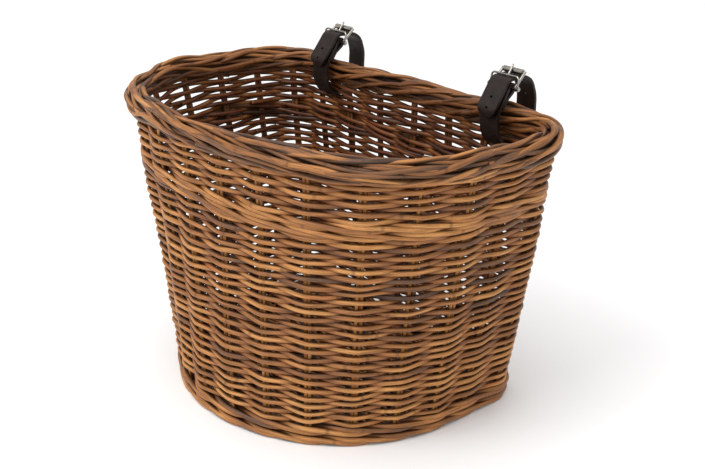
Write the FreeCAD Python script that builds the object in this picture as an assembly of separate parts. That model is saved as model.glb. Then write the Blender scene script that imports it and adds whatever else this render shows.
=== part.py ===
"""Woven handlebar basket: a D-shaped wall of round rods on paired stakes, a rolled border,
and two leather straps with roller buckles that loop through the flat back wall.

Millimetres. +X runs along the flat back wall, +Y points backwards to the handlebar, +Z is up.
The origin is the middle of the underside. Each sub-part is written to parts/NAME.step.
"""

import FreeCAD, Part
import math
import os

from FreeCAD import Placement, Rotation, Vector

os.makedirs("parts", exist_ok=True)

# Plan of the wall's outer face where it meets the table.
base_half_width = 147.0
base_front_depth = 122.0
base_back_depth = 125.0
base_rear_corner = 44.0
base_corner_spread = 7.0      # middle plane to the centre of a front corner's arc
base_bow_radius = 153.0

# Plan of the wall's outer face at the rim.
rim_half_width = 196.0
rim_front_depth = 132.0
rim_back_depth = 123.0
rim_rear_corner = 56.0
rim_corner_spread = 68.0
rim_bow_radius = 512.0
rim_height = 265.0            # crest of the border, at mid depth
rim_tilt = 1.7                # degrees, the rim rises towards the front

# The woven wall, from the bottom up.
wall_thickness = 13.0
band_gap = 0.2
foot_height = 9.0
upsett_height = 10.0
upsett_proud = 0.8
lower_band_count = 4
wale_height = 14.0
wale_drop = 55.0              # border's crest to the top of the wale band
wale_proud = 0.8

# Stakes: pairs of upright rods that the wall is woven on.
stake_pairs = 24
stake_diameter = 3.6
stake_gap = 0.6               # between the two rods of a pair
stake_clearance = 0.15
stake_foot = 3.0              # height of the stakes' lower ends

# Base panel and its sticks.
base_panel_thickness = 10.0
base_panel_gap = 0.3
base_stick_count = 6
base_stick_diameter = 5.6
base_stick_pitch = 38.0
base_stick_end_cover = 8.0

# Rolled border: four rods laid round a core.
border_rod_diameter = 9.6
border_rod_gap = 0.3
border_core_gap = 0.3
border_inset = 5.0            # wall's outer face to the middle of the border
border_seat_gap = 0.7         # border to the weave under it

# Straps.
strap_spacing = 220.0
strap_width = 20.0
strap_thickness = 2.6
strap_slot_drop = 37.5        # border's crest to where the strap goes through the back wall
strap_slot_clearance_x = 1.0
strap_slot_clearance_z = 3.2
strap_lean = {"right": 0.0, "left": -4.0}   # degrees about +X
leaf_gap = 1.3                # tongue to the leaf under it
tongue_rise = 24.5            # tongue tip above the slot
hole_diameter = 2.4
hole_pitch = 10.0
hole_count = 2
first_hole = 1.0              # from the bulge of the tongue

# Corners of the strap's line in the plane across the wall, as (outwards, upwards, bend radius).
# Upwards is from the slot. Outwards is from the wall's inner face, or from its outer face.
inner_bulge = (-14.7, 28.5, 22.0)
inner_knee = (-12.0, 12.0, 16.0)
inner_turn = (-5.0, 0.0, 11.0)
outer_turn = (13.5, 0.0, 10.0)
outer_knee = (20.5, 16.0, 17.0)
outer_middle = (20.0, 38.5, 28.0)
outer_shoulder = (14.0, 52.5, 15.0)
# Corners that follow the buckle.
tongue_bend = 9.0             # where the strap turns under the roller
tongue_past_roller = 4.5
tongue_fall_bend = 8.0        # where the tongue turns down in front of the heel bar
tongue_past_heel = 3.8
tongue_bulge_rise = 3.0       # tongue's bulge above the inner leaf's
tongue_bulge_room = 0.2       # more room between the two at the bulge
tongue_bulge_bend = 8.0
tongue_tip_inset = 0.9
fold_bend = 5.0               # where the folded end comes back to the leaf
fold_bar_bend = 4.0
fold_roundness = 0.95         # bend of the fold's corners as a share of its radius

# Buckle.
heel_bar_rise = 50.0          # heel bar above the slot
heel_bar_inset = 4.5         # heel bar in front of the wall's middle
fold_clearance = 0.5          # heel bar to the leather folded round it
fold_close = 14.0             # top of the fold to where its layers lie together
fold_tail = 9.0               # stretch of the fold that the rivet holds
fold_layer_gap = 0.4
buckle_wire = 2.6
buckle_arm = 2.4
buckle_length = 16.5          # heel bar to roller bar
buckle_angle = 44.0           # degrees above +Y
buckle_side_gap = 0.8
roller_bar_diameter = 2.6
roller_bore_clearance = 0.08
roller_wall = 1.22
roller_end_gap = 0.4
prong_diameter = 2.0
prong_eye_width = 2.4
prong_eye_wall = 1.2
prong_overhang = 2.5
prong_slot_play = 0.6
prong_slot_depth = 3.0        # each way from the tongue's line
eye_slot_margin = 1.2         # folded leather left round the prong's eye
prong_lift = 6.0             # degrees of travel that the slot leaves
keeper_wire = 1.8
keeper_angle = 80.0
keeper_eye_width = 2.0
keeper_bend = 3.0
moving_gap = 0.35
heel_cap_width = 0.8
heel_cap_lip = 0.3
rivet_shank = 3.2
rivet_head = 7.0
rivet_head_height = 0.8
rivet_below_fold = 18.5
cut_margin = 1.0              # how far a cutting tool runs past what it cuts

# Worked out from the sizes above.
half_wall = wall_thickness / 2
rod_radius = border_rod_diameter / 2
rod_spread = (border_rod_diameter + border_rod_gap) / math.sqrt(2)
border_height = 2 * rod_spread + border_rod_diameter
weave_top = rim_height - border_height - border_seat_gap
wale_top = rim_height - wale_drop
wale_bottom = wale_top - wale_height
stake_pitch = stake_diameter + stake_gap
wall_middle = rim_back_depth - half_wall
slot_centre = Vector(0, wall_middle, rim_height - strap_slot_drop)


def mix(low, high, share):
    """Value a share of the way from low to high."""
    return low + (high - low) * share


def plan(level, offset):
    """Half width, front, back, rear corner, front corner and bow radius at a level.

    The bow's curvature, not its radius, changes evenly with height, so that the wall is straight.
    """
    half_width = mix(base_half_width, rim_half_width, level)
    front_corner = half_width - mix(base_corner_spread, rim_corner_spread, level)
    bow = 1 / mix(1 / base_bow_radius, 1 / rim_bow_radius, level)
    return (
        half_width + offset,
        -mix(base_front_depth, rim_front_depth, level) - offset,
        mix(base_back_depth, rim_back_depth, level) + offset,
        mix(base_rear_corner, rim_rear_corner, level) + offset,
        front_corner + offset,
        bow + offset,
    )


def level_plane(level, drop=0.0):
    """Placement of the tilted plane that holds the outline at a level."""
    turn = Rotation(Vector(1, 0, 0), -rim_tilt * level)
    return Placement(Vector(0, 0, level * rim_height), turn) * Placement(Vector(0, 0, -drop), Rotation())


def outline(level, offset, drop=0.0):
    """Closed D-shaped wire: flat back, rear corners, sides, front corners and a bowed front."""
    half_width, front, back, rear, corner, bow = plan(level, offset)
    bow_centre = front + bow
    lean = math.asin((half_width - corner) / (bow - corner))
    corner_centre = bow_centre - (bow - corner) * math.cos(lean)

    def on_arc(x, y, radius, angle):
        return Vector(x + radius * math.cos(angle), y + radius * math.sin(angle), 0)

    rear_x = half_width - rear
    front_x = half_width - corner
    meet = lean - math.pi / 2
    right = [
        Part.LineSegment(Vector(0, back, 0), Vector(rear_x, back, 0)),
        Part.Arc(
            Vector(rear_x, back, 0),
            on_arc(rear_x, back - rear, rear, math.pi / 4),
            Vector(half_width, back - rear, 0),
        ),
        Part.LineSegment(Vector(half_width, back - rear, 0), Vector(half_width, corner_centre, 0)),
        Part.Arc(
            Vector(half_width, corner_centre, 0),
            on_arc(front_x, corner_centre, corner, meet / 2),
            on_arc(front_x, corner_centre, corner, meet),
        ),
        Part.Arc(
            on_arc(front_x, corner_centre, corner, meet),
            on_arc(0, bow_centre, bow, (meet - math.pi / 2) / 2),
            Vector(0, front, 0),
        ),
    ]
    right_edges = [curve.toShape() for curve in right]
    left_edges = [edge.mirror(Vector(0, 0, 0), Vector(1, 0, 0)) for edge in right_edges]
    wire = Part.Wire(Part.__sortEdges__(right_edges + left_edges))
    wire.Placement = level_plane(level, drop)
    return wire


def level_at(height):
    """Level of a height above the table: 0 at the table, 1 at the border's crest."""
    return height / rim_height


def loft(bottom, top, offset):
    """Solid inside the outline between two heights, moved outwards by the offset."""
    wires = [outline(level_at(height), offset) for height in (bottom, top)]
    return Part.makeLoft(wires, True, True)


def band(bottom, top, proud=0.0):
    """Ring of the woven wall between two heights, as thick as the wall and what stands proud."""
    return loft(bottom, top, proud).cut(loft(bottom, top, -wall_thickness - proud))


def rod(start, end, radius, extend=0.0):
    """Straight round rod between two points, lengthened by the same amount at both ends."""
    along = (end - start).normalize()
    length = start.distanceToPoint(end) + 2 * extend
    return Part.makeCylinder(radius, length, start - along * extend, along)


def x_rod(y, z, radius, half_length, middle=0.0):
    """Round rod along X, centred on a plane x = middle."""
    return Part.makeCylinder(radius, 2 * half_length, Vector(middle - half_length, y, z), Vector(1, 0, 0))


def box(low, high):
    """Box between its lowest and highest corners."""
    size = high - low
    return Part.makeBox(size.x, size.y, size.z, low)


def save(name, shape):
    """Write one sub-part."""
    shape.exportStep(os.path.join("parts", name + ".step"))


# ---- Stakes ----


def stake_ends(height):
    """Centres of both rods of each pair at one height, pair by pair, from the back's middle."""
    steps = 200
    points = outline(level_at(height), -half_wall).discretize(stake_pairs * steps + 1)[:-1]
    ends = []
    for pair in range(stake_pairs):
        index = pair * steps
        along = (points[index + 1] - points[index - 1]).normalize()
        ends += [points[index] - along * stake_pitch / 2, points[index] + along * stake_pitch / 2]
    return ends


stake_lines = list(zip(stake_ends(stake_foot), stake_ends(weave_top)))
side_stakes = Part.makeCompound([rod(low, high, stake_diameter / 2) for low, high in stake_lines])
tunnel_radius = stake_diameter / 2 + stake_clearance
stake_tunnels = [rod(low, high, tunnel_radius, stake_clearance) for low, high in stake_lines]
save("side_stakes", side_stakes)


# ---- Wall bands ----


def bored(shape):
    """The shape with a tunnel for every stake."""
    return shape.cut(Part.makeCompound(stake_tunnels))


upsett_bottom = foot_height + band_gap
upsett_top = upsett_bottom + upsett_height
save("foot_border", bored(band(0, foot_height)))
save("upsett_wale", bored(band(upsett_bottom, upsett_top, upsett_proud)))

lower_pitch = (wale_bottom - upsett_top) / lower_band_count
for number in range(lower_band_count):
    bottom = upsett_top + number * lower_pitch + band_gap
    top = upsett_top + (number + 1) * lower_pitch
    save(f"side_weave_{number + 1}", bored(band(bottom, top)))

save("wale_band", bored(band(wale_bottom + band_gap, wale_top, wale_proud)))

slot_half = Vector(
    strap_width / 2 + strap_slot_clearance_x,
    wall_thickness,
    strap_thickness / 2 + strap_slot_clearance_z,
)
upper_weave = bored(band(wale_top + band_gap, weave_top))
for side in (-1, 1):
    middle = slot_centre + Vector(side * strap_spacing / 2, 0, 0)
    upper_weave = upper_weave.cut(box(middle - slot_half, middle + slot_half))
save(f"side_weave_{lower_band_count + 1}", upper_weave)


# ---- Base ----

panel_offset = -wall_thickness - upsett_proud - base_panel_gap
panel = Part.Face(outline(0, panel_offset)).extrude(Vector(0, 0, base_panel_thickness))
sticks = []
stick_holes = []
for number in range(base_stick_count):
    x = (number - (base_stick_count - 1) / 2) * base_stick_pitch
    reach = base_front_depth + base_back_depth
    middle = Vector(x, 0, base_panel_thickness / 2)
    across = Vector(0, reach, 0)
    inside = rod(middle - across, middle + across, base_stick_diameter / 2).common(panel).BoundBox
    front = Vector(x, inside.YMin + base_stick_end_cover, base_panel_thickness / 2)
    rear = Vector(x, inside.YMax - base_stick_end_cover, base_panel_thickness / 2)
    sticks.append(rod(front, rear, base_stick_diameter / 2))
    stick_holes.append(rod(front, rear, base_stick_diameter / 2 + stake_clearance, stake_clearance))
save("base_sticks", Part.makeCompound(sticks))
save("base_weave", panel.cut(Part.makeCompound(stick_holes)))


# ---- Rolled border ----


def border_ring(offset, drop, radius):
    """Closed ring of round rod that follows the rim."""
    path = outline(1, offset, drop)
    start = path.OrderedVertexes[0].Point
    heading = path.OrderedEdges[0].tangentAt(path.OrderedEdges[0].FirstParameter)
    section = Part.Wire(Part.makeCircle(radius, start, heading))
    return path.makePipeShell([section], True, False)


border_middle = border_height / 2
border_rods = {
    "border_rod_top": (0, -rod_spread),
    "border_rod_outer": (rod_spread, 0),
    "border_rod_inner": (-rod_spread, 0),
    "border_rod_bottom": (0, rod_spread),
}
for name, (outwards, down) in border_rods.items():
    save(name, border_ring(outwards - border_inset, border_middle + down, rod_radius))
core_radius = rod_spread - rod_radius - border_core_gap
save("border_core", border_ring(-border_inset, border_middle, core_radius))


# ---- Straps ----


class Loop:
    """Shape of one strap and its buckle in the plane across the wall, before it is moved aside."""

    def __init__(self):
        half = strap_thickness / 2
        y, z = slot_centre.y, slot_centre.z
        self.heel = (y - heel_bar_inset, z + heel_bar_rise)
        angle = math.radians(buckle_angle)
        self.along = (math.cos(angle), math.sin(angle))
        self.outwards = (-math.sin(angle), math.cos(angle))
        self.roller = self.beyond(self.heel, self.along, buckle_length)
        self.roller_radius = roller_bar_diameter / 2 + roller_bore_clearance + roller_wall
        self.fold_radius = buckle_wire / 2 + fold_clearance + half
        self.tongue_top = self.roller[1] - self.roller_radius - moving_gap - half
        keeper_rise = self.tongue_top - self.heel[1] + half + moving_gap + keeper_wire / 2
        self.keeper_radius = keeper_rise / math.sin(math.radians(keeper_angle))

        def corner(place, face):
            return (y + face * half_wall + place[0], z + place[1])

        bulge = corner(inner_bulge, -1)
        to_heel = (self.heel[0] - bulge[0], self.heel[1] - bulge[1])
        swing = math.asin(self.fold_radius / math.hypot(*to_heel))
        heading = math.atan2(to_heel[1], to_heel[0]) + swing
        self.leaf = (math.cos(heading), math.sin(heading))
        self.leaf_out = (-self.leaf[1], self.leaf[0])
        down = (-self.leaf[0], -self.leaf[1])
        beside_heel = self.beyond(self.heel, self.leaf_out, self.fold_radius)
        self.top = self.beyond(beside_heel, self.leaf, self.fold_radius)
        back_corner = self.beyond(self.top, self.leaf_out, -2 * self.fold_radius)
        past_bar = self.beyond(back_corner, down, self.fold_radius + buckle_wire)
        layer_pitch = strap_thickness + fold_layer_gap
        near = self.beyond(self.beyond(self.top, down, fold_close), self.leaf_out, -layer_pitch)
        end = self.beyond(near, down, fold_tail)
        tongue_under = strap_thickness + leaf_gap
        tip_under = (bulge[0] + tongue_tip_inset, z + tongue_rise)
        self.tip = self.beyond(tip_under, self.leaf_out, tongue_under)
        self.tongue_corner = (self.heel[0] - tongue_past_heel, self.tongue_top)
        bulge_under = (bulge[0], bulge[1] + tongue_bulge_rise)
        self.tongue_bulge = self.beyond(bulge_under, self.leaf_out, tongue_under + tongue_bulge_room)
        self.outer_leaf = corner(outer_middle, 1)
        fold_corner_bend = self.fold_radius * fold_roundness
        self.path = [
            (end, 0),
            (near, fold_bend),
            (past_bar, fold_bar_bend),
            (back_corner, fold_corner_bend),
            (self.top, fold_corner_bend),
            (bulge, inner_bulge[2]),
            (corner(inner_knee, -1), inner_knee[2]),
            (corner(inner_turn, -1), inner_turn[2]),
            (corner(outer_turn, 1), outer_turn[2]),
            (corner(outer_knee, 1), outer_knee[2]),
            (self.outer_leaf, outer_middle[2]),
            (corner(outer_shoulder, 1), outer_shoulder[2]),
            ((self.roller[0] + tongue_past_roller, self.tongue_top), tongue_bend),
            (self.tongue_corner, tongue_fall_bend),
            (self.tongue_bulge, tongue_bulge_bend),
            (self.tip, 0),
        ]

    @staticmethod
    def unit(start, end):
        """Direction from one point to another."""
        length = math.hypot(end[0] - start[0], end[1] - start[1])
        return ((end[0] - start[0]) / length, (end[1] - start[1]) / length)

    @staticmethod
    def beyond(point, direction, distance):
        """Point at a distance along a direction."""
        return (point[0] + direction[0] * distance, point[1] + direction[1] * distance)


def rounded_edges(corners):
    """Lines and tangent arcs through a list of (point, radius), with no arc at either end."""
    edges = []
    last = corners[0][0]
    for index in range(1, len(corners) - 1):
        corner, radius = corners[index]
        before = (corner - corners[index - 1][0]).normalize()
        after = (corners[index + 1][0] - corner).normalize()
        turn = before.getAngle(after)
        start = corner - before * radius * math.tan(turn / 2)
        end = corner + after * radius * math.tan(turn / 2)
        inwards = (after - before).normalize()
        middle = corner + inwards * radius * (1 / math.cos(turn / 2) - 1)
        if last.distanceToPoint(start) > 1e-4:
            edges.append(Part.LineSegment(last, start).toShape())
        edges.append(Part.Arc(start, middle, end).toShape())
        last = end
    edges.append(Part.LineSegment(last, corners[-1][0]).toShape())
    return edges


def beside(path, shift):
    """The path's corners moved sideways by the shift, with radii that keep its arcs concentric."""
    points = [point for point, _ in path]
    headings = [Loop.unit(points[index], points[index + 1]) for index in range(len(points) - 1)]
    headings = [headings[0]] + headings + [headings[-1]]
    moved = []
    for index, (point, radius) in enumerate(path):
        before, after = headings[index], headings[index + 1]
        cross = before[0] * after[1] - before[1] * after[0]
        dot = before[0] * after[0] + before[1] * after[1]
        push = shift / (1 + dot)
        aside = (before[1] + after[1]) * push
        ahead = (before[0] + after[0]) * push
        corner = Vector(0, point[0] - aside, point[1] + ahead)
        moved.append((corner, radius - math.copysign(shift, cross * shift) if radius else 0))
    return moved


def strip(path, thickness, width):
    """Flat strip of leather that follows a path, centred on x = 0."""
    left = rounded_edges(beside(path, thickness / 2))
    right = rounded_edges(beside(path, -thickness / 2))
    caps = []
    for vertex in (0, -1):
        ends = [side[vertex].Vertexes[vertex].Point for side in (left, right)]
        caps.append(Part.LineSegment(*ends).toShape())
    wire = Part.Wire(Part.__sortEdges__(left + right + caps))
    solid = Part.Face(wire).extrude(Vector(width, 0, 0))
    solid.translate(Vector(-width / 2, 0, 0))
    return solid


loop = Loop()


def strap_solid():
    """The strap: fold round the heel bar, leaf, slot run, outer leaf, and the tongue with its holes."""
    solid = strip(loop.path, strap_thickness, strap_width)
    heel_y, heel_z = loop.heel
    eye_slot_half = prong_eye_width / 2 + prong_slot_play
    eye_slot = x_rod(heel_y, heel_z, 2 * loop.fold_radius - eye_slot_margin, eye_slot_half)
    cross_low = (loop.tongue_top - heel_z) / math.tan(prong_angle + math.radians(prong_lift))
    cross_high = (loop.tongue_top - heel_z) / math.tan(prong_angle)
    end_room = prong_diameter / 2 / math.sin(prong_angle) + strap_thickness / 2 + prong_slot_play
    slot_half_width = prong_diameter / 2 + prong_slot_play
    slot_low = loop.tongue_top - prong_slot_depth
    slot_high = loop.tongue_top + prong_slot_depth
    slot = box(
        Vector(-slot_half_width, heel_y + cross_low - end_room, slot_low),
        Vector(slot_half_width, heel_y + cross_high + end_room, slot_high),
    )
    solid = solid.cut(eye_slot).cut(slot)
    tip_y, tip_z = loop.tip
    tip_middle = tip_z + strap_width / 2
    front = tip_y - strap_thickness
    back = tip_y + strap_thickness / 2 + leaf_gap / 2
    below_tip = tip_z - strap_thickness
    tip_cut = box(Vector(-strap_width, front, below_tip), Vector(strap_width, back, tip_middle))
    tip_start = Vector(0, front, tip_middle)
    tip_round = Part.makeCylinder(strap_width / 2, back - front, tip_start, Vector(0, 1, 0))
    solid = solid.cut(tip_cut.cut(tip_round))
    heading = Loop.unit(loop.tongue_bulge, loop.tongue_corner)
    normal = Vector(0, -heading[1], heading[0])
    for number in range(hole_count):
        y, z = Loop.beyond(loop.tongue_bulge, heading, first_hole + number * hole_pitch)
        middle = Vector(0, y, z)
        reach = normal * (strap_thickness + leaf_gap) / 2
        solid = solid.cut(rod(middle - reach, middle + reach, hole_diameter / 2))
    outer = Vector(0, *loop.outer_leaf)
    through = Vector(0, 2 * strap_thickness, 0)
    return solid.cut(rod(outer - through, outer + through, hole_diameter / 2))


prong_rest = Loop.beyond(
    loop.roller, loop.outwards, loop.roller_radius + moving_gap + prong_diameter / 2
)
prong_heading = Loop.unit(loop.heel, prong_rest)
prong_angle = math.atan2(prong_heading[1], prong_heading[0])


def rivet_line():
    """Middle of the folded layers where the rivet goes through, and the way it points."""
    on_leaf = Loop.beyond(loop.top, loop.leaf, -rivet_below_fold)
    middle = Loop.beyond(on_leaf, loop.leaf_out, -(strap_thickness + fold_layer_gap) / 2)
    return Vector(0, *middle), Vector(0, *loop.leaf_out)


def rivet_solid():
    """Rivet with a flat head on each side of the folded layers."""
    middle, axis = rivet_line()
    reach = strap_thickness + fold_layer_gap / 2 + stake_clearance
    solid = rod(middle - axis * reach, middle + axis * reach, rivet_shank / 2)
    for way in (-1, 1):
        start = middle + axis * reach * way
        head = rod(start, start + axis * rivet_head_height * way, rivet_head / 2)
        solid = solid.fuse(head)
    return solid.removeSplitter()


arm_x = strap_width / 2 + buckle_side_gap + buckle_wire / 2
eye_x = arm_x + buckle_wire / 2 + moving_gap + keeper_eye_width / 2
cap_x = eye_x + keeper_eye_width / 2 + moving_gap


def frame_solid():
    """Buckle frame: heel bar with a cap at each end, two arms, and the bar under the roller."""
    wire = buckle_wire / 2
    heel_y, heel_z = loop.heel
    solid = x_rod(heel_y, heel_z, wire, cap_x + heel_cap_width / 2)
    solid = solid.fuse(x_rod(*loop.roller, roller_bar_diameter / 2, arm_x))
    over_roller = Loop.beyond(loop.roller, loop.along, buckle_arm / 2)
    for side in (-1, 1):
        foot = Vector(side * arm_x, *loop.heel)
        head = Vector(side * arm_x, *over_roller)
        solid = solid.fuse(rod(foot, head, buckle_arm / 2))
        cap_middle = side * (cap_x + heel_cap_width / 2)
        solid = solid.fuse(x_rod(heel_y, heel_z, wire + heel_cap_lip, heel_cap_width / 2, cap_middle))
    return solid.removeSplitter()


def roller_solid():
    """Tube that turns on the buckle's far bar."""
    half_length = arm_x - buckle_wire / 2 - roller_end_gap
    bore = roller_bar_diameter / 2 + roller_bore_clearance
    tube = x_rod(*loop.roller, loop.roller_radius, half_length)
    return tube.cut(x_rod(*loop.roller, bore, half_length + cut_margin))


def prong_solid():
    """Prong: an eye round the heel bar and a rod that rests on the roller."""
    bore = buckle_wire / 2 + roller_bore_clearance
    eye_radius = bore + prong_eye_wall
    length = math.hypot(prong_rest[0] - loop.heel[0], prong_rest[1] - loop.heel[1]) + prong_overhang
    heel = Vector(0, *loop.heel)
    tip = heel + Vector(0, *prong_heading) * length
    solid = x_rod(*loop.heel, eye_radius, prong_eye_width / 2)
    solid = solid.fuse(rod(heel, tip, prong_diameter / 2))
    solid = solid.fuse(Part.makeSphere(prong_diameter / 2, tip))
    return solid.cut(x_rod(*loop.heel, bore, prong_eye_width)).removeSplitter()


def keeper_solid():
    """Wire keeper: an eye on each end of the heel bar, two arms, and a bar over the tongue."""
    wire = keeper_wire / 2
    bore = buckle_wire / 2 + roller_bore_clearance
    angle = math.radians(keeper_angle)
    bar = Loop.beyond(loop.heel, (math.cos(angle), math.sin(angle)), loop.keeper_radius)
    feet = [Vector(side * eye_x, *loop.heel) for side in (-1, 1)]
    heads = [Vector(side * eye_x, *bar) for side in (-1, 1)]
    corners = [(feet[0], 0), (heads[0], keeper_bend), (heads[1], keeper_bend), (feet[1], 0)]
    path = Part.Wire(rounded_edges(corners))
    section = Part.Wire(Part.makeCircle(wire, feet[0], heads[0] - feet[0]))
    solid = path.makePipeShell([section], True, False)
    for side in (-1, 1):
        eye = x_rod(*loop.heel, bore + wire, keeper_eye_width / 2, side * eye_x)
        solid = solid.fuse(eye)
    for side in (-1, 1):
        solid = solid.cut(x_rod(*loop.heel, bore, keeper_eye_width, side * eye_x))
    return solid.removeSplitter()


rivet_middle, rivet_axis = rivet_line()
rivet_hole = rod(
    rivet_middle - rivet_axis * (strap_thickness + cut_margin),
    rivet_middle + rivet_axis * (strap_thickness + cut_margin),
    rivet_shank / 2 + stake_clearance,
)
strap_parts = {
    "strap": strap_solid().cut(rivet_hole),
    "strap_rivet": rivet_solid(),
    "buckle_frame": frame_solid(),
    "buckle_roller": roller_solid(),
    "buckle_prong": prong_solid(),
    "buckle_keeper": keeper_solid(),
}
for side, sign in (("right", 1), ("left", -1)):
    aside = Placement(Vector(sign * strap_spacing / 2, 0, 0), Rotation())
    leaning = Placement(Vector(0, 0, 0), Rotation(Vector(1, 0, 0), strap_lean[side]), slot_centre)
    for name, solid in strap_parts.items():
        placed = solid.copy()
        placed.Placement = aside * leaning
        save(f"{name}_{side}", placed)

for side, sign in (("right", 1), ("left", -1)):
    aside = Placement(Vector(sign * strap_spacing / 2, 0, 0), Rotation())
    leaning = Placement(Vector(0, 0, 0), Rotation(Vector(1, 0, 0), strap_lean[side]), slot_centre)
    for name, point in (("heel bar", loop.heel), ("roller bar", loop.roller)):
        where = (aside * leaning).multVec(Vector(0, *point))
        print(side, name, [round(value, 2) for value in where])
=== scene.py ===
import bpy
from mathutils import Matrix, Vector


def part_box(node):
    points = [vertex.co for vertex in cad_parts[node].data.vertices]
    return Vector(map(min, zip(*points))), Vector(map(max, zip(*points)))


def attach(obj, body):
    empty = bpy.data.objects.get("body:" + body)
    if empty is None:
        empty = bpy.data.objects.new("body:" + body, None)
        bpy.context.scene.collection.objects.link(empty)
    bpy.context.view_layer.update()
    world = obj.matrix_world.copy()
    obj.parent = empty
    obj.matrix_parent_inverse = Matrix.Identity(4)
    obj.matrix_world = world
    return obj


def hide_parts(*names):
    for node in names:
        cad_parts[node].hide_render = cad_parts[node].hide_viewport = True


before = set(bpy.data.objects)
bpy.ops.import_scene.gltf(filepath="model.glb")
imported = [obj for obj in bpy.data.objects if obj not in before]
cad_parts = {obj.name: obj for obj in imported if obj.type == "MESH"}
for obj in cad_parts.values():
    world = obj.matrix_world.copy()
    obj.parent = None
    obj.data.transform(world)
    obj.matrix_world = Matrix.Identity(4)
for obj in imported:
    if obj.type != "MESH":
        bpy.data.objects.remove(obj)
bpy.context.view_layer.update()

import math

import bmesh
import bpy
import numpy as np

chance = np.random.default_rng(24)


# ---- Base ----
# The basket stands on a D-shaped panel: six round sticks from front to back, thin rods woven over and
# under them, and three rods round the edge. The wall's outline comes first, because the panel ends
# under the wall.

foot_low, foot_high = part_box("foot_border")
crest_low, crest_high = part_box("border_rod_top")
panel_low, panel_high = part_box("base_weave")

wall = 0.013
rim_tilt = math.radians(1.7)
crest_inset = 0.0002           # outline of the rim outside the top rod's own edge
crest = crest_high.z + crest_low.y * math.sin(rim_tilt)
foot_share = foot_high.z / crest


def mix(low, high, share):
    """Value a share of the way from low to high."""
    return low + (high - low) * share


def at_table(at_foot, at_rim):
    """Size at the table of a straight wall, from its sizes at the foot's top and at the rim."""
    return (at_foot - at_rim * foot_share) / (1 - foot_share)


rim_half = crest_high.x + crest_inset
rim_front = -crest_low.y + crest_inset
rim_back = crest_high.y + crest_inset
base_half = at_table(foot_high.x, rim_half)
base_front = at_table(-foot_low.y, rim_front)
base_back = foot_high.y
rear_corner = (0.044, 0.056)       # at the table, at the rim
corner_spread = (0.007, 0.068)     # middle plane to the centre of a front corner's arc
bow_radius = (0.153, 0.512)
calm_height = 0.04                 # below this height the unevenness fades out

# Size, times round the basket, rate up the wall and start of each wave.
lift_waves = ((0.0011, 3, 42, 1.3), (0.0008, 7, 66, 4.0), (0.0004, 13, 120, 0.6))
bulge_waves = ((0.0010, 4, 30, 0.4), (0.0008, 9, 52, 2.1))


def uneven(turn, height, waves):
    """Small handmade unevenness: size x sin(2 pi x times x turn + height x rate + start), added up."""
    total = 0.0
    for size, times, rate, start in waves:
        total = total + size * np.sin(2 * np.pi * times * turn + height * rate + start)
    return total


def wall_at(turn, height):
    """Middle of the wall: its points, outward headings and forward headings.

    turn goes from 0 to 1 round the basket from the back's middle, first towards +X. The outline
    is half a D on each side: a flat back, an arc of the rear corner, a straight side, an arc of the
    front corner and the bow's arc. Each size changes evenly with height, the bow's by curvature.
    """
    turn, height = np.broadcast_arrays(np.asarray(turn, float), np.asarray(height, float))
    height = height + np.clip(height / calm_height, 0, 1) * uneven(turn, height, lift_waves)
    level = height / crest
    half = mix(base_half, rim_half, level) - wall / 2
    front = mix(base_front, rim_front, level) - wall / 2
    back = mix(base_back, rim_back, level) - wall / 2
    rear = mix(*rear_corner, level) - wall / 2
    spread = mix(*corner_spread, level)
    corner = half - spread
    bow = 1 / mix(1 / bow_radius[0], 1 / bow_radius[1], level) - wall / 2
    lean = np.arcsin(spread / (bow - corner))
    bow_y = bow - front
    corner_y = bow_y - (bow - corner) * np.cos(lean)
    runs = [half - rear, rear * np.pi / 2, back - rear - corner_y, corner * (np.pi / 2 - lean), bow * lean]
    ends = np.cumsum(runs, axis=0)
    part = turn - np.floor(turn)
    side = np.where(part < 0.5, 1.0, -1.0)
    along = np.minimum(part, 1 - part) * 2 * ends[4]
    where = [along < ends[0], along < ends[1], along < ends[2], along < ends[3]]
    heading = np.select(
        where,
        [
            0 * along,
            (along - ends[0]) / rear,
            0 * along + np.pi / 2,
            np.pi / 2 + (along - ends[2]) / corner,
        ],
        np.pi - (ends[4] - along) / bow,
    )
    x = np.select(
        where,
        [along, half - rear + rear * np.sin(heading), half, spread + corner * np.sin(heading)],
        bow * np.sin(heading),
    )
    y = np.select(
        where,
        [back, back - rear + rear * np.cos(heading), back - rear - (along - ends[1]),
         corner_y + corner * np.cos(heading)],
        bow_y + bow * np.cos(heading),
    )
    tilt = rim_tilt * level
    outward = np.stack([side * np.sin(heading), np.cos(heading), 0 * x], -1)
    points = np.stack([side * x, y * np.cos(tilt), height - y * np.sin(tilt)], -1)
    points = points + outward * (level * uneven(turn, height, bulge_waves))[..., None]
    forward = np.stack([np.cos(heading), -side * np.sin(heading), 0 * x], -1)
    return points, outward, forward


grain_shift = 0.71                 # of bark between one rod's pattern and the next rod's


def store(mesh, name, kind, field, values):
    """Keeps one value for each vertex of a mesh as an attribute."""
    mesh.attributes.new(name, kind, "POINT").data.foreach_set(field, values.astype(np.float32).ravel())


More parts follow.
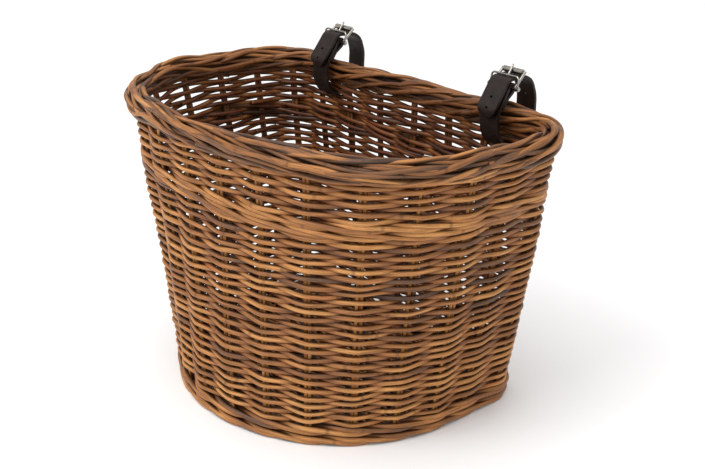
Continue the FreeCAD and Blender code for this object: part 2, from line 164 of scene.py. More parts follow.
def rods(name, paths, radii, outward, tones, inner=0.0, sides=10):
    """One mesh of round rods with closed ends.

    paths and outward hold a point and a heading for each step of each rod, radii a radius.
    A ring is the point plus radius x (cos a x outward + sin a x (path x outward)), with the heading
    first made square to the path. Three attributes go with it: grain holds the distance along the
    rod and the place on the ring in metres, tone the rod's own shade of brown, inner the amount of
    painted shade, for how far inside the wall, border or base it lies, where shade falls.
    """
    count, steps = paths.shape[:2]
    path_way = np.gradient(paths, axis=1)
    path_way /= np.linalg.norm(path_way, axis=2, keepdims=True)
    out = outward - np.sum(outward * path_way, 2, keepdims=True) * path_way
    out /= np.linalg.norm(out, axis=2, keepdims=True)
    across = np.cross(path_way, out)
    angle = np.arange(sides) * 2 * np.pi / sides
    ring = np.cos(angle)[:, None] * out[:, :, None] + np.sin(angle)[:, None] * across[:, :, None]
    body = paths[:, :, None] + radii[:, :, None, None] * ring
    poles = paths[:, [0, -1]]
    points = np.concatenate([body.reshape(count, -1, 3), poles], 1)
    stretch = np.linalg.norm(np.diff(paths, axis=1), axis=2)
    distance = np.concatenate([np.zeros((count, 1)), np.cumsum(stretch, 1)], 1)
    distance = distance + np.arange(count)[:, None] * grain_shift
    flat = np.broadcast_to(distance[:, :, None], body.shape[:3])
    grain = np.stack([flat, radii[:, :, None] * np.cos(angle), radii[:, :, None] * np.sin(angle)], -1)
    at_poles = distance[:, [0, -1]]
    pole_grain = np.stack([at_poles, 0 * at_poles, 0 * at_poles], -1)
    grain = np.concatenate([grain.reshape(count, -1, 3), pole_grain], 1)
    size = steps * sides + 2
    step, spot = np.meshgrid(np.arange(steps - 1), np.arange(sides), indexing="ij")
    after = (spot + 1) % sides
    near, beyond = step * sides, (step + 1) * sides
    quads = np.stack([near + spot, near + after, beyond + after, beyond + spot], -1).reshape(-1, 4)
    spot, after = np.arange(sides), (np.arange(sides) + 1) % sides
    last = (steps - 1) * sides
    caps = np.concatenate([
        np.stack([0 * spot + steps * sides, after, spot], -1),
        np.stack([0 * spot + steps * sides + 1, last + spot, last + after], -1),
    ])
    firsts = np.arange(count)[:, None, None] * size
    quads, caps = (quads + firsts).reshape(-1, 4), (caps + firsts).reshape(-1, 3)
    mesh = bpy.data.meshes.new(name)
    mesh.vertices.add(count * size)
    mesh.vertices.foreach_set("co", points.astype(np.float32).ravel())
    corners = np.concatenate([quads.ravel(), caps.ravel()])
    mesh.loops.add(len(corners))
    mesh.loops.foreach_set("vertex_index", corners.astype(np.int32))
    starts = np.concatenate([np.arange(len(quads)) * 4, quads.size + np.arange(len(caps)) * 3])
    mesh.polygons.add(len(starts))
    mesh.polygons.foreach_set("loop_start", starts.astype(np.int32))
    mesh.update(calc_edges=True)
    mesh.polygons.foreach_set("use_smooth", np.ones(len(starts), bool))
    store(mesh, "grain", "FLOAT_VECTOR", "vector", grain)
    shade = np.asarray(tones, float)
    shade = np.broadcast_to(shade[:, None] if shade.ndim == 1 else shade, (count, steps))
    shade = np.concatenate([np.repeat(shade, sides, 1), shade[:, [0, -1]]], 1)
    store(mesh, "tone", "FLOAT", "value", shade)
    # The inner attribute is the amount of painted shade on each step of the rod.
    depth = np.broadcast_to(np.asarray(inner, float), (count, steps))
    depth = np.concatenate([np.repeat(depth, sides, 1), depth[:, [0, -1]]], 1)
    store(mesh, "inner", "FLOAT", "value", depth)
    piece = bpy.data.objects.new(name, mesh)
    bpy.context.scene.collection.objects.link(piece)
    return piece


class Wire:
    """A socket in a material's tree. Operators between wires and numbers add Math nodes."""

    def __init__(self, tree, socket=None):
        self.tree = tree
        self.socket = socket

    def add(self, kind, settings=None, values=None, output=0):
        """Adds a node, sets its settings, then its sockets' values or links, and gives one output."""
        node = self.tree.nodes.new(kind)
        for key, value in (settings or {}).items():
            if key == "stops":
                while len(node.color_ramp.elements) < len(value):
                    node.color_ramp.elements.new(0.5)
                for element, (place, colour) in zip(node.color_ramp.elements, value):
                    element.position = place
                    element.color = (*colour, 1)
            else:
                setattr(node, key, value)
        for key, value in (values or {}).items():
            if isinstance(value, Wire):
                self.tree.links.new(value.socket, node.inputs[key])
            else:
                node.inputs[key].default_value = value
        return Wire(self.tree, node.outputs[output])

    def maths(self, operation, *values):
        return self.add("ShaderNodeMath", {"operation": operation}, dict(enumerate(values)))

    def __add__(self, other):
        return self.maths("ADD", self, other)

    def __sub__(self, other):
        return self.maths("SUBTRACT", self, other)

    def __rsub__(self, other):
        return self.maths("SUBTRACT", other, self)

    def __mul__(self, other):
        return self.maths("MULTIPLY", self, other)

    __radd__ = __add__
    __rmul__ = __mul__


def material(name, roughness, metallic=0.0, gloss=0.5):
    """A material with one Principled shader, its tree as a wire, and the shader's sockets."""
    made = bpy.data.materials.new(name)
    made.use_nodes = True
    shader = made.node_tree.nodes["Principled BSDF"]
    shader.inputs["Roughness"].default_value = roughness
    shader.inputs["Metallic"].default_value = metallic
    shader.inputs["Specular IOR Level"].default_value = gloss
    return made, Wire(made.node_tree), shader.inputs


def feed(wire, socket):
    """Links a wire to a shader's socket."""
    wire.tree.links.new(wire.socket, socket)


def stretched_noise(tree, place, along, across, detail=2.0):
    """Noise whose features are 1/along long and 1/across wide on a rod."""
    stretch = (along, across, across)
    scaled = tree.add("ShaderNodeVectorMath", {"operation": "MULTIPLY"}, {0: place, 1: stretch})
    return tree.add("ShaderNodeTexNoise", {}, {"Vector": scaled, "Scale": 1.0, "Detail": detail})


def step_up(tree, value, low, high):
    """0 below low, 1 above high, and smooth between."""
    return tree.add(
        "ShaderNodeMapRange", {"interpolation_type": "SMOOTHSTEP"},
        {"Value": value, "From Min": low, "From Max": high},
    )


def blend(tree, kind, share, first, second):
    """Colours mixed, multiplied or otherwise joined by a Mix node."""
    return tree.add(
        "ShaderNodeMix", {"data_type": "RGBA", "blend_type": kind}, {0: share, 6: first, 7: second}, 2
    )


dark_brown = (0.036, 0.014, 0.006)
grey_brown = (0.108, 0.050, 0.023)
mid_brown = (0.205, 0.077, 0.021)
tan = (0.340, 0.138, 0.037)
honey = (0.480, 0.224, 0.068)
rust = (0.330, 0.110, 0.028)
bark_stops = [
    (0.0, dark_brown), (0.16, grey_brown), (0.36, mid_brown), (0.58, tan), (0.8, honey), (1.0, rust)
]
ring_spacing = 0.19                # between the rings left by leaves
ring_shift = 9.3                   # spacings that the rings move by for each unit of tone
usual_radius = 0.0021


def peeled_bark(name, shade_tint):
    """Unpeeled round rods: each its own shade, with fibres, weathered patches, dark specks and rings.

    The shade is the rod's tone plus slow noise, put through a ramp of browns. Fibres are noise
    drawn out along the rod. A ring is where the distance along the rod passes a whole spacing. The
    sides of a rod, which lie against its neighbours, are darker than the faces turned in and out:
    painted shade in the crevices between rods. Faces turned in (down, on the base), and rods by
    their inner attribute, are multiplied by the shade tint: painted shade where the wall, border
    and base lie in shade.
    """
    made, tree, sockets = material(name, 0.5, gloss=0.35)
    place = tree.add("ShaderNodeAttribute", {"attribute_name": "grain"}, output=1)
    tone = tree.add("ShaderNodeAttribute", {"attribute_name": "tone"}, output=2)
    inner = tree.add("ShaderNodeAttribute", {"attribute_name": "inner"}, output=2)
    fibres = stretched_noise(tree, place, 70, 1500, 3)
    patches = stretched_noise(tree, place, 16, 150)
    weather = stretched_noise(tree, place, 34, 330, 4)
    specks = stretched_noise(tree, place, 800, 1300)
    shade = tone + patches - 0.5
    colour = tree.add("ShaderNodeValToRGB", {"stops": bark_stops}, {0: shade})
    along = tree.add("ShaderNodeSeparateXYZ", {}, {0: place})
    facing = tree.add("ShaderNodeSeparateXYZ", {}, {0: place}, 1) * (1 / usual_radius)
    # Painted shade: the sides of each rod, where it lies against its neighbours, are darkened to 0.30, and
    # the faces turned in and out are lightened a little.
    crevice_shade = step_up(tree, tree.maths("ABSOLUTE", facing), 0.10, 0.80) * 0.72 + 0.30
    light = (fibres * 2.05 + 0.02) * crevice_shade
    light = tree.add("ShaderNodeCombineColor", {}, {0: light, 1: light, 2: light})
    colour = blend(tree, "MULTIPLY", 1.0, colour, light)
    colour = blend(tree, "MIX", step_up(tree, weather, 0.58, 0.68) * 0.40, colour, (*grey_brown, 1))
    colour = blend(tree, "MIX", step_up(tree, specks, 0.64, 0.72) * 0.5, colour, (*dark_brown, 1))
    spot = tree.maths("FRACT", along * (1 / ring_spacing) + tone * ring_shift)
    ring = 1 - step_up(tree, tree.maths("ABSOLUTE", spot - 0.5), 0.003, 0.012)
    colour = blend(tree, "MIX", ring * 0.38, colour, (*dark_brown, 1))
    # Painted shade: faces turned in (towards the basket's inside, the border's core, or down on the base),
    # and rods by their inner attribute, are multiplied by the shade tint.
    turned_in_shade = step_up(tree, 0 - facing, -0.15, 0.50) * 0.75
    colour = blend(tree, "MULTIPLY", tree.maths("MAXIMUM", inner, turned_in_shade), colour, (*shade_tint, 1))
    feed(colour, sockets["Base Color"])
    feed(patches * 0.35 + 0.32, sockets["Roughness"])
    height = fibres * 0.7 + ring * 0.5 + weather * 0.4
    bump = tree.add("ShaderNodeBump", {}, {"Strength": 0.45, "Distance": 0.0003, "Height": height})
    feed(bump, sockets["Normal"])
    return made


inside_shade = (0.40, 0.27, 0.20)
rod_bark = peeled_bark("rod_bark", inside_shade)

panel_middle = (panel_low.z + panel_high.z) / 2
stick_low, stick_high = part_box("base_sticks")
stick_count = 6
stick_radius = 0.0024
packed_stick_radius = 0.0028
stick_front_gap = 0.010
stick_rear_gap = 0.003
edge_cover = 0.0050                # wall's middle to the ends of the woven rods
stick_x = np.linspace(stick_low.x + packed_stick_radius, stick_high.x - packed_stick_radius, stick_count)
edge_points, edge_outward, _ = wall_at(np.linspace(0, 0.5, 2000), 0.0)
panel_edge = edge_points - edge_outward * edge_cover


def reach_at(y):
    """Half width of the panel at each y, read from the outline on the +X side."""
    order = np.argsort(panel_edge[:, 1])
    return np.interp(y, panel_edge[order, 1], panel_edge[order, 0])


stick_steps = 40
share = np.linspace(0, 1, stick_steps)
front_line = wall_at(np.linspace(0.5, 0.25, 800), 0.0)[0]
front_y = np.interp(np.abs(stick_x), front_line[:, 0], front_line[:, 1]) + stick_front_gap
rear_y = panel_high.y - stick_rear_gap
paths = np.stack([
    np.broadcast_to(stick_x[:, None], (stick_count, stick_steps)),
    front_y[:, None] + (rear_y - front_y)[:, None] * share,
    np.full((stick_count, stick_steps), panel_middle),
], -1)
radii = np.full((stick_count, stick_steps), stick_radius)
radii = radii * chance.uniform(0.92, 1.08, (stick_count, 1))
up = np.broadcast_to([0.0, 0.0, 1.0], paths.shape)
base_sticks = rods("base_stick_rods", paths, radii, up, chance.uniform(0.3, 0.7, stick_count))

weaver_radius = 0.0016
weaver_pitch = 0.0035
weaver_rise = 0.0034
weaver_sway = 0.0003
weaver_steps = 150
sway_knots = 9
row_margin = 0.003
shortest_half_row = 0.02
rows = int((panel_high.y - panel_low.y - 2 * row_margin) / weaver_pitch)
row_y = panel_low.y + row_margin + (np.arange(rows) + 0.5) * weaver_pitch
share = np.linspace(-1, 1, weaver_steps)
x = np.clip(reach_at(row_y), shortest_half_row, None)[:, None] * share
stick_pitch = stick_x[1] - stick_x[0]
wave = np.cos(np.pi * ((x - stick_x[0]) / stick_pitch + np.arange(rows)[:, None]))
knots = chance.normal(0, 1, (rows, sway_knots))
sway = np.stack([np.interp(share, np.linspace(-1, 1, sway_knots), line) for line in knots])
paths = np.stack([x, row_y[:, None] + weaver_sway * sway, panel_middle + weaver_rise * wave], -1)
radii = weaver_radius * (1 + 0.05 * sway)
up = np.broadcast_to([0.0, 0.0, 1.0], paths.shape)
# The base's woven rods get painted shade of 0.6 through the inner attribute, as they lie in shade inside
# the basket.
base_rods = rods("base_weave_rods", paths, radii, up, chance.uniform(0.2, 0.75, rows), 0.6, 8)

edge_count = 3
edge_radius = 0.0019
edge_ripple = 0.0012
edge_first = 0.0052                # wall's middle to the outermost edge rod
edge_pitch = 0.0032
edge_inset = (edge_first + np.arange(edge_count) * edge_pitch)[:, None, None]
edge_steps = 240
edge_ripples = 24                  # times round the basket
turn = np.linspace(0, 1, edge_steps)
points, outward, forward = wall_at(turn, panel_middle)
paths = points - outward * edge_inset
ripple = np.cos(2 * np.pi * turn * edge_ripples + np.arange(edge_count)[:, None] * np.pi)
paths[..., 2] = panel_middle + edge_ripple * ripple
radii = np.full((edge_count, edge_steps), edge_radius)
up = np.broadcast_to([0.0, 0.0, 1.0], paths.shape)
# The base's edge rods get painted shade of 0.4 through the inner attribute.
base_edge = rods("base_edge_rods", paths, radii, up, chance.uniform(0.3, 0.6, edge_count), 0.4, 8)

for piece, node in ((base_sticks, "base_sticks"), (base_rods, "base_weave"), (base_edge, "base_weave")):
    piece.data.materials.append(rod_bark)
    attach(piece, "basket")
    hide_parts(node)


# ---- Stakes ----
# Twenty-four pairs of slim upright rods stand in the wall, and everything is woven on them. Each
# follows the wall from the foot into the border, a little crooked as a grown rod is.

pair_count = 24
pair_radius = 0.00185
pair_spread = 0.0017          # each rod of a pair from the pair's middle
front_shift = 0.0175          # the front's pairs stand this share of a turn further round
stake_cover = 0.014           # border's crest to the stakes' upper ends
stake_low, stake_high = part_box("side_stakes")


def turn_of(pair):
    """Turn of a place counted in stake pairs, with the front's pairs a little further round."""
    turn = np.asarray(pair, float) / pair_count
    part = turn - np.floor(turn)
    rise = np.clip((np.minimum(part, 1 - part) - 0.10) / 0.12, 0, 1)
    return turn + front_shift * rise * rise * (3 - 2 * rise)


def crooked(count, steps, knots, size):
    """Smooth random lines: normal numbers at evenly spaced knots, joined by cosine steps."""
    values = chance.normal(0, size, (count, knots))
    place = np.linspace(0, knots - 1, steps)
    first = np.minimum(place.astype(int), knots - 2)
    ease = (1 - np.cos(np.pi * (place - first))) / 2
    return values[:, first] * (1 - ease) + values[:, first + 1] * ease


stake_steps = 60
stake_count = 2 * pair_count
pair = np.repeat(np.arange(pair_count), 2)
height = np.linspace(stake_low.z, crest - stake_cover, stake_steps)
points, outward, forward = wall_at(turn_of(pair)[:, None], height)
aside = np.tile([-pair_spread, pair_spread], pair_count)[:, None]
aside = aside + crooked(stake_count, stake_steps, 8, 0.00035)
lean = crooked(stake_count, stake_steps, 6, 0.0003)
paths = points + forward * aside[..., None] + outward * lean[..., None]
radii = pair_radius * (1 + crooked(stake_count, stake_steps, 7, 0.05))
stakes = rods("side_stake_rods", paths, radii, outward, chance.uniform(0.35, 0.8, stake_count), 0.0, 10)
stakes.data.materials.append(rod_bark)
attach(stakes, "basket")
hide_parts("side_stakes")


# ---- Foot and upsett ----
# The stakes are bent up from the base and held by wales: three rods in a set, each in front of two
# pairs and behind the third. The foot is one such set of thick rods, the upsett another above it.

wale_steps_per_pair = 12
pairs_per_shade = 6           # along a strand, before the next rod's shade
shade_stagger = 0.37


def wale(heights, radius, rise, reach, tones, name):
    """Sets of three rods, each behind one stake pair in three.

    With p the share of three pairs that a rod has gone, it lies reach x (1 - 2 b) outside the
    wall's middle, where b = (1 + cos(3 pi p)) / 2 within a third of p = 0 and 0 elsewhere, and
    rise x sin(2 pi p) below its set's height. So its front stroke climbs from end to end.
    """
    count = 3 * len(heights)
    steps = pair_count * wale_steps_per_pair + 1
    place = np.linspace(0, pair_count, steps)
    share = (place - np.arange(count)[:, None] % 3) / 3
    share = share - np.round(share)
    behind = np.where(np.abs(share) < 1 / 3, (1 + np.cos(3 * np.pi * share)) / 2, 0)
    level = np.repeat(heights, 3)[:, None] - rise * np.sin(2 * np.pi * share)
    level = level + crooked(count, steps, 30, 0.0003)
    points, outward, forward = wall_at(turn_of(place), level)
    offset = reach * (1 - 2 * behind)
    paths = points + outward * offset[..., None]
    thick = radius * (1 + crooked(count, steps, 18, 0.05))
    # Painted shade: where a rod lies behind the stakes it is darkened through the inner attribute.
    depth = np.clip(0.5 - offset / reach, 0, 1)
    gone = np.floor(place / pairs_per_shade + np.arange(count)[:, None] * shade_stagger)
    tones = np.take_along_axis(tones, gone.astype(int) % tones.shape[1], 1)
    return rods(name, paths, thick, outward, tones, depth)


def shades(count, pieces=5):
    """Random tones for the rods that follow each other along each strand."""
    return np.clip(chance.normal(0.5, 0.14, (count, pieces)), 0.0, 1.0)


upsett_low, upsett_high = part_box("upsett_wale")
lower_radius = 0.0024
foot_height = 0.0045
foot_rise = 0.0019
foot_reach = 0.0042
upsett_rise = 0.0022
upsett_reach = 0.0044
upsett_drop = 0.0004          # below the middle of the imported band
upsett_height = (upsett_low.z + upsett_high.z) / 2 - upsett_drop
foot = wale([foot_height], lower_radius, foot_rise, foot_reach, shades(3), "foot_rods")
upsett = wale([upsett_height], lower_radius, upsett_rise, upsett_reach, shades(3), "upsett_rods")
for piece, node in ((foot, "foot_border"), (upsett, "upsett_wale")):
    piece.data.materials.append(rod_bark)
    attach(piece, "basket")
    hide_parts(node)


# ---- Side weave ----
# Single round rods go in front of one pair of stakes and behind the next, each row opposite to the
# row under it. Two rods make a row, and their ends are tucked behind a pair, inside the basket.

row_pitch = 0.00355
weave_radius = 0.00208
weave_reach = 0.0042
zigzag = 0.97
steps_per_pair = 13
rods_per_row = 2
end_cover = 0.35              # pairs from a rod's end to the pair that it goes behind
tuck_pairs = 0.9
tuck_depth = 0.0042
slot_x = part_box("strap_right")[0].x / 2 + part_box("strap_right")[1].x / 2
slot_height = crest - 0.0375
slot_half_width = 0.0110
slot_half_height = 0.0019     # half the strap's thickness and a little room
slot_fade = 0.02              # along the wall, past the strap's edges
rows_moved = 0.82             # share of the way from the slot that a row keeps
inside_back = 0.08            # only rows further back than this belong to the back wall


def part_rows(points, level):
    """Lifts or lowers rows beside a strap's slot, so that the strap has room between two of them.

    Rows near the slot move away from it to leave half the strap and a rod's radius, less and
    less for rows further off, and the move fades out along the wall past the strap's edges.
    """
    gap = level - slot_height
    need = slot_half_height + weave_radius
    wanted = need + rows_moved * (np.abs(gap) - row_pitch / 2)
    move = np.sign(gap) * np.clip(wanted - np.abs(gap), 0, None)
    beside = np.abs(np.abs(points[..., 0]) - slot_x) - slot_half_width
    fade = np.clip(1 - beside / slot_fade, 0, 1)
    return np.where(points[..., 1] > inside_back, move * fade * fade * (3 - 2 * fade), 0)


def randing(name, node, low, high, first_row):
    """One band of plain weave between two heights.

    Offset from the wall's middle is reach x asin(k c) / asin(k) with c = cos(pi x (pairs gone + row)),
    a zigzag that is rounded at the pairs. Each rod covers half a turn and a little more.
    """
    rows = int(round((high - low) / row_pitch))
    levels = low + (np.arange(rows) + 0.5) * (high - low) / rows
    count = rows * rods_per_row
    row = np.repeat(np.arange(rows) + first_row, rods_per_row)
    half = pair_count // rods_per_row
    first_pair = 2 * chance.integers(0, half, rows).repeat(rods_per_row)
    begin = np.tile(np.arange(rods_per_row) * half, rows) + first_pair
    begin = begin + (row + 1) % 2 - end_cover
    length = half + 2 * end_cover
    steps = int(length * steps_per_pair)
    gone = np.linspace(0, length, steps)
    place = begin[:, None] + gone
    swing = np.cos(np.pi * (place + row[:, None]))
    reach = weave_reach * (1 + crooked(count, steps, 13, 0.06))
    offset = reach * np.arcsin(zigzag * swing) / np.arcsin(zigzag)
    tuck = np.clip(1 - gone / tuck_pairs, 0, 1)
    offset = offset - tuck_depth * tuck * tuck
    level = np.repeat(levels, rods_per_row)[:, None] + crooked(count, steps, 2 * half, 0.00048)
    points, outward, forward = wall_at(turn_of(place), level)
    if high > slot_height:
        level = level + part_rows(points, level)
        points, outward, forward = wall_at(turn_of(place), level)
    paths = points + outward * offset[..., None]
    butt = chance.choice([-1.0, 1.0], count)[:, None] * np.linspace(-0.09, 0.09, steps)
    radii = weave_radius * (1 + butt + crooked(count, steps, 16, 0.035))
    radii = radii * chance.uniform(0.93, 1.07, (count, 1))
    tones = np.clip(chance.normal(0.54, 0.14, count), 0.0, 1.0)
    # Painted shade: where a rod lies behind a pair it is darkened through the inner attribute.
    depth = np.clip(0.45 - 0.9 * swing, 0, 1)
    piece = rods(name, paths, radii, outward, tones, depth)
    piece.data.materials.append(rod_bark)
    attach(piece, "basket")
    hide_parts(node)
    return first_row + rows


wale_low, wale_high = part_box("wale_band")
belt_height = 0.014
border_cover = 0.0215         # border's crest to the highest row's top
wale_bottom = (wale_low.z + wale_high.z) / 2 - belt_height / 2
wale_top = wale_bottom + belt_height
weave_bottom = upsett_high.z - 0.0003
weave_top = crest - border_cover
row = 0
for band in range(4):
    low, high = (mix(weave_bottom, wale_bottom, (band + end) / 4) for end in (0, 1))
    row = randing(f"side_rods_{band + 1}", f"side_weave_{band + 1}", low, high, row)
row = randing("side_rods_5", "side_weave_5", wale_top, weave_top, row)


# ---- Upper wale ----
# A tight belt of two wale sets lies two thirds of the way up and locks the weave.

set_inset = 0.0036            # belt's edge to the middle of the nearer set
belt_radius = 0.00215
belt_rise = 0.0021
belt_reach = 0.0042
set_heights = [wale_bottom + set_inset, wale_top - set_inset]
wale_rods = wale(set_heights, belt_radius, belt_rise, belt_reach, shades(6), "wale_rods")
wale_rods.data.materials.append(rod_bark)
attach(wale_rods, "basket")
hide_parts("wale_band")


# ---- Rolled border ----
# Above the weave the stakes are laid down and rolled round each other into a thick rope. Sixteen places
# lie round a filling of four, and five rods follow each other in each place. Most ends are tucked in
# under the next rod, and a few stand out.

border_middle = crest - 0.0116
strand_radius = 0.0021
strand_circle = 0.0080
strand_count = 16
strand_pieces = 5
piece_overlap = 0.02           # of a turn, where one rod ends under the next
piece_stagger = 0.62           # of a piece, from one place to the next
loose_share = 0.16
lay_swing = 2.9
lay_start = 0.55
beats = 10                     # times round the basket
beat_step = 2.4                # from one place to the next
end_taper = 0.018              # of a turn
end_rise = 0.0022
across_squeeze = 0.90
upright_stretch = 1.06
filling_count = 4
filling_circle = 0.0034
filling_radius = 0.0031


def rope(name, places, circle, radius, tones, begin, length, loose, steps):
    """Rods laid round the border's line, with s the share of a turn.

    A rod's angle round the line is its place plus swing x sin(2 pi (s - start)), which turns one way
    and back round the basket, plus a beat of its own. Its distance from the line follows the same
    beat a quarter later, so that rods pass over and under each other. An end is thinner and tucked
    in; a loose end stands out and shows its cut.
    """
    gone = np.linspace(0, 1, steps) * length[:, None]
    share = begin[:, None] + gone
    points, outward, forward = wall_at(share, border_middle)
    count = len(places)
    beat = 2 * np.pi * share * beats + places[:, None] * beat_step
    lay = lay_swing * np.sin(2 * np.pi * (share - lay_start))
    angle = places[:, None] * 2 * np.pi / strand_count + lay
    angle = angle + 0.24 * np.cos(beat) + crooked(count, steps, 8, 0.16)
    tuck = np.clip(1 - gone / end_taper, 0, 1) ** 2
    end = np.clip(1 - (length[:, None] - gone) / end_taper, 0, 1) ** 2
    tuck = tuck + end * (1 - loose[:, None])
    far = circle * (1 + 0.17 * np.sin(beat)) * (1 + crooked(count, steps, 7, 0.05)) * (1 - 0.34 * tuck)
    far = far + end_rise * end * loose[:, None]
    aside = (across_squeeze * far * np.cos(angle))[..., None]
    rise = (upright_stretch * far * np.sin(angle))[..., None]
    up = np.array([0.0, 0.0, 1.0])
    paths = points + outward * aside + up * rise
    thick = radius * (1 + crooked(count, steps, 6, 0.06)) * chance.uniform(0.88, 1.12, (count, 1))
    thick = thick * (1 - 0.4 * tuck)
    out = outward * np.cos(angle)[..., None] + up * np.sin(angle)[..., None]
    # Painted shade: rods on the border's inner side, and tucked ends, are darkened through the inner
    # attribute.
    depth = np.clip(-0.1 - 0.9 * np.cos(angle), 0, 1) * 0.8
    return rods(name, paths, thick, out, tones, np.clip(depth + 0.6 * tuck, 0, 1))


places = np.repeat(np.arange(strand_count), strand_pieces).astype(float)
piece_count = len(places)
begin = (np.tile(np.arange(strand_pieces), strand_count) + places * piece_stagger) / strand_pieces
begin = begin + chance.uniform(-0.03, 0.03, piece_count)
length = 1 / strand_pieces + piece_overlap + chance.uniform(0.03, 0.06, piece_count)
loose = (chance.uniform(0, 1, piece_count) < loose_share).astype(float)
tones = np.clip(chance.normal(0.40, 0.13, piece_count), 0, 1)
border = rope("border_strands", places, strand_circle, strand_radius, tones, begin, length, loose, 110)

places = np.arange(filling_count) * strand_count / filling_count
tones = chance.uniform(0.0, 0.12, filling_count)
none, whole = np.zeros(filling_count), np.ones(filling_count)
filling = rope("border_filling", places, filling_circle, filling_radius, tones, none, whole, none, 300)
for piece, nodes in (
    (border, ("border_rod_top", "border_rod_outer", "border_rod_inner", "border_rod_bottom")),
    (filling, ("border_core",)),
):
    piece.data.materials.append(rod_bark)
    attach(piece, "basket")
    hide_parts(*nodes)


# ---- Straps ----
# Each strap is one strip of dark leather with rounded edges. It is folded round the buckle's heel
# bar, riveted, passed through the back wall and over the handlebar, and ends in a holed tongue.


def oiled_leather():
    """Near-black brown leather: pebbled grain, fine creases across it, and worn lighter spots."""
    made, tree, sockets = material("strap_leather_finish", 0.5, gloss=0.22)
    place = tree.add("ShaderNodeTexCoord", {}, output=3)
    pebbles = tree.add("ShaderNodeTexVoronoi", {"feature": "SMOOTH_F1"}, {"Vector": place, "Scale": 1700.0})
    cloud = tree.add("ShaderNodeTexNoise", {}, {"Vector": place, "Scale": 140.0, "Detail": 5.0})
    crease = tree.add("ShaderNodeTexNoise", {}, {"Vector": place, "Scale": 420.0, "Detail": 6.0})
    stops = [(0.25, (0.009, 0.005, 0.0036)), (0.6, (0.018, 0.010, 0.0072)), (0.8, (0.040, 0.022, 0.014))]
    colour = tree.add("ShaderNodeValToRGB", {"stops": stops}, {0: cloud})
    feed(colour, sockets["Base Color"])
    feed(cloud * 0.3 + 0.33, sockets["Roughness"])
    height = pebbles * 0.6 + crease * 0.9
    bump = tree.add("ShaderNodeBump", {}, {"Strength": 0.4, "Distance": 0.0002, "Height": height})
    feed(bump, sockets["Normal"])
    return made


leather = oiled_leather()
edge_round = 0.0006


def soft_edged(name, node, width):
    """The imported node's shape as one closed mesh, its flat faces joined and its edges rounded."""
    shell = bmesh.new()
    shell.from_mesh(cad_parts[node].data)
    bmesh.ops.remove_doubles(shell, verts=shell.verts, dist=1e-6)
    bmesh.ops.dissolve_limit(shell, angle_limit=math.radians(0.5), verts=shell.verts, edges=shell.edges)
    mesh = bpy.data.meshes.new(name)
    shell.to_mesh(mesh)
    shell.free()
    mesh.materials.clear()
    mesh.polygons.foreach_set("use_smooth", np.ones(len(mesh.polygons), bool))
    mesh.set_sharp_from_angle(angle=math.radians(38))
    piece = bpy.data.objects.new(name, mesh)
    bpy.context.scene.collection.objects.link(piece)
    edge = piece.modifiers.new("edge", "BEVEL")
    edge.width = width
    edge.segments = 3
    edge.limit_method = "ANGLE"
    edge.angle_limit = math.radians(38)
    return piece


for side in ("right", "left"):
    strap = soft_edged(f"leather_strap_{side}", f"strap_{side}", edge_round)
    strap.data.materials.append(leather)
    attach(strap, f"strap_{side}")
    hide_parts(f"strap_{side}")


# ---- Buckles and rivets ----
# Dulled nickel-plated wire: the frame with its heel bar, the roller, the prong, and the wire keeper
# that stands over the tongue. A flat-headed rivet holds the folded end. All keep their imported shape.


def nickel(name, roughness, tint):
    """Plated steel: slightly warm metal with cloudy gloss and fine scratches."""
    made, tree, sockets = material(name, roughness, 1.0)
    place = tree.add("ShaderNodeTexCoord", {}, output=3)
    cloud = tree.add("ShaderNodeTexNoise", {}, {"Vector": place, "Scale": 350.0, "Detail": 3.0})
    scratch = tree.add("ShaderNodeTexNoise", {}, {"Vector": place, "Scale": 2600.0, "Detail": 2.0})
    darker = tuple(0.72 * part for part in tint)
    colour = tree.add("ShaderNodeValToRGB", {"stops": [(0.3, darker), (0.7, tint)]}, {0: cloud})
    feed(colour, sockets["Base Color"])
    feed(cloud * 0.22 + (roughness - 0.1), sockets["Roughness"])
    bump = tree.add("ShaderNodeBump", {}, {"Strength": 0.15, "Distance": 0.00005, "Height": scratch})
    feed(bump, sockets["Normal"])
    return made


plated = nickel("buckle_plating", 0.24, (0.42, 0.39, 0.35))
roller_metal = nickel("roller_plating", 0.18, (0.46, 0.43, 0.39))
rivet_metal = nickel("rivet_plating", 0.34, (0.40, 0.35, 0.29))
for side in ("right", "left"):
    for part, metal in (
        ("buckle_frame", plated),
        ("buckle_prong", plated),
        ("buckle_keeper", plated),
        ("buckle_roller", roller_metal),
        ("strap_rivet", rivet_metal),
    ):
        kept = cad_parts[f"{part}_{side}"]
        for material_slot in kept.material_slots:
            material_slot.material = metal


# ---- Floor, light and camera ----
# A plain pale studio floor, one large soft light above the front, a weak fill from the right, an even
# sky, and the camera in front of the basket to its right.

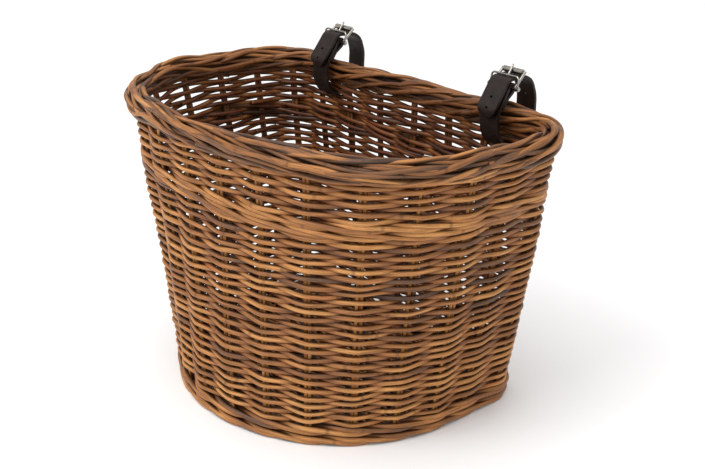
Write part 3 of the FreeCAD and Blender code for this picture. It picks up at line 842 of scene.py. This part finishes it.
floor_material, floor_tree, floor_sockets = material("studio_floor", 0.7)
floor_sockets["Base Color"].default_value = (0.88, 0.88, 0.88, 1)
floor_mesh = bpy.data.meshes.new("floor")
reach = 6
floor_corners = [(-reach, -reach, 0), (reach, -reach, 0), (reach, reach, 0), (-reach, reach, 0)]
floor_mesh.from_pydata(floor_corners, [], [(0, 1, 2, 3)])
floor_mesh.materials.append(floor_material)
floor = bpy.data.objects.new("floor", floor_mesh)
bpy.context.scene.collection.objects.link(floor)

world = bpy.data.worlds.new("studio")
world.use_nodes = True
backdrop = world.node_tree.nodes["Background"].inputs
backdrop["Color"].default_value = (1, 1, 1, 1)
backdrop["Strength"].default_value = 0.74
bpy.context.scene.world = world


def soft_light(name, place, target, size, power):
    """A square area light that points at a target."""
    lamp = bpy.data.lights.new(name, "AREA")
    lamp.size = size
    lamp.energy = power
    holder = bpy.data.objects.new(name, lamp)
    bpy.context.scene.collection.objects.link(holder)
    holder.location = place
    way = np.array(target) - np.array(place)
    flat = math.hypot(way[0], way[1])
    holder.rotation_euler = (math.atan2(flat, -way[2]), 0, math.atan2(way[1], way[0]) - math.pi / 2)


soft_light("overhead", (-0.1, -1.35, 1.7), (0, 0, 0.1), 1.1, 22)
soft_light("fill", (1.6, -1.0, 1.0), (0, 0, 0.15), 0.9, 4.5)
sky = bpy.data.lights.new("sky", "SUN")
sky.energy = 1.1
sky.angle = math.radians(50)
sky_holder = bpy.data.objects.new("sky", sky)
sky_holder.rotation_euler = (math.radians(6), math.radians(-2), 0)
bpy.context.scene.collection.objects.link(sky_holder)

view_turn = math.radians(49.505)
view_rise = math.radians(22.267)
view_distance = 1.086759
target = np.array([0, 0, 0.130])
level = math.cos(view_rise)
back = np.array([math.sin(view_turn) * level, -math.cos(view_turn) * level, math.sin(view_rise)])
lens = bpy.data.cameras.new("camera")
lens.sensor_width = 36.0
lens.lens = 61.95
lens.shift_x = 0.0497
lens.shift_y = 0.0123
camera = bpy.data.objects.new("camera", lens)
bpy.context.scene.collection.objects.link(camera)
camera.location = target + back * view_distance
camera.rotation_euler = (math.pi / 2 - view_rise, 0, view_turn)
bpy.context.scene.camera = camera
bpy.context.scene.view_settings.view_transform = "Standard"
